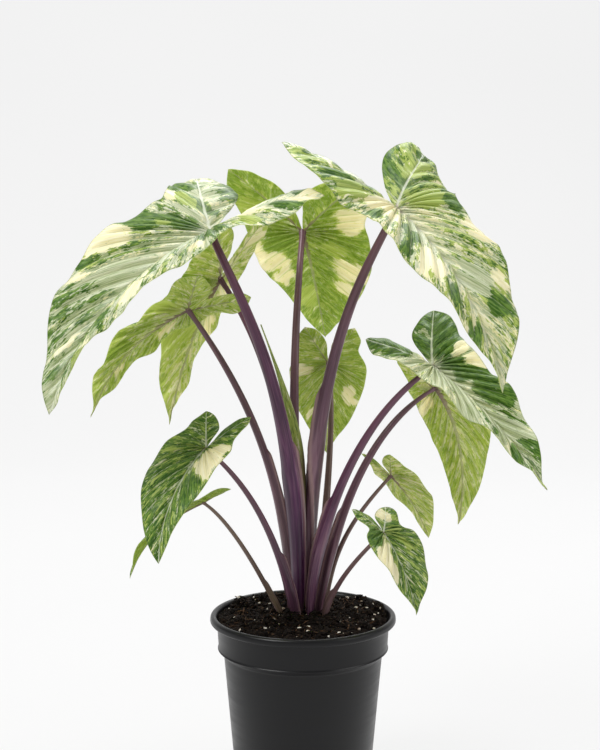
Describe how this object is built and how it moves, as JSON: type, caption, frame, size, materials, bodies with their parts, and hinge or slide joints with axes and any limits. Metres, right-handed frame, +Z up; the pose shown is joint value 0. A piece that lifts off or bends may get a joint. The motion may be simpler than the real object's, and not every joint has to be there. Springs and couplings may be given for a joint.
{
  "type": "potted taro plant",
  "caption": "Clump of arrow-shaped, variegated taro leaves on tall purple stalks, in a round black nursery pot filled with soil.",
  "frame": {"origin": "centre of the pot's foot, on the plane that it rests on", "axes": "+Z up, -Y towards the viewer of the picture, +X to the picture's right"},
  "size_m": [0.3997, 0.3661, 0.5819],
  "materials": {
    "pot": "satin",
    "soil": "matte",
    "petiole": "satin",
    "blade": "satin",
    "rolled_leaf": "satin"
  },
  "bodies": {
    "root": {"pot": "pot", "soil": "soil", "tall_left_petiole": "petiole", "tall_left_blade": "blade", "tall_right_petiole": "petiole", "tall_right_blade": "blade", "tall_back_petiole": "petiole", "tall_back_blade": "blade", "middle_left_petiole": "petiole", "middle_left_blade": "blade", "middle_left_back_petiole": "petiole", "middle_left_back_blade": "blade", "low_left_front_petiole": "petiole", "low_left_front_blade": "blade", "low_left_petiole": "petiole", "low_left_blade": "blade", "middle_back_petiole": "petiole", "middle_back_blade": "blade", "middle_right_petiole": "petiole", "middle_right_blade": "blade", "middle_right_back_petiole": "petiole", "middle_right_back_blade": "blade", "low_right_back_petiole": "petiole", "low_right_back_blade": "blade", "low_right_front_petiole": "petiole", "low_right_front_blade": "blade", "rolled_leaf": "rolled_leaf"}
  },
  "joints": []
}
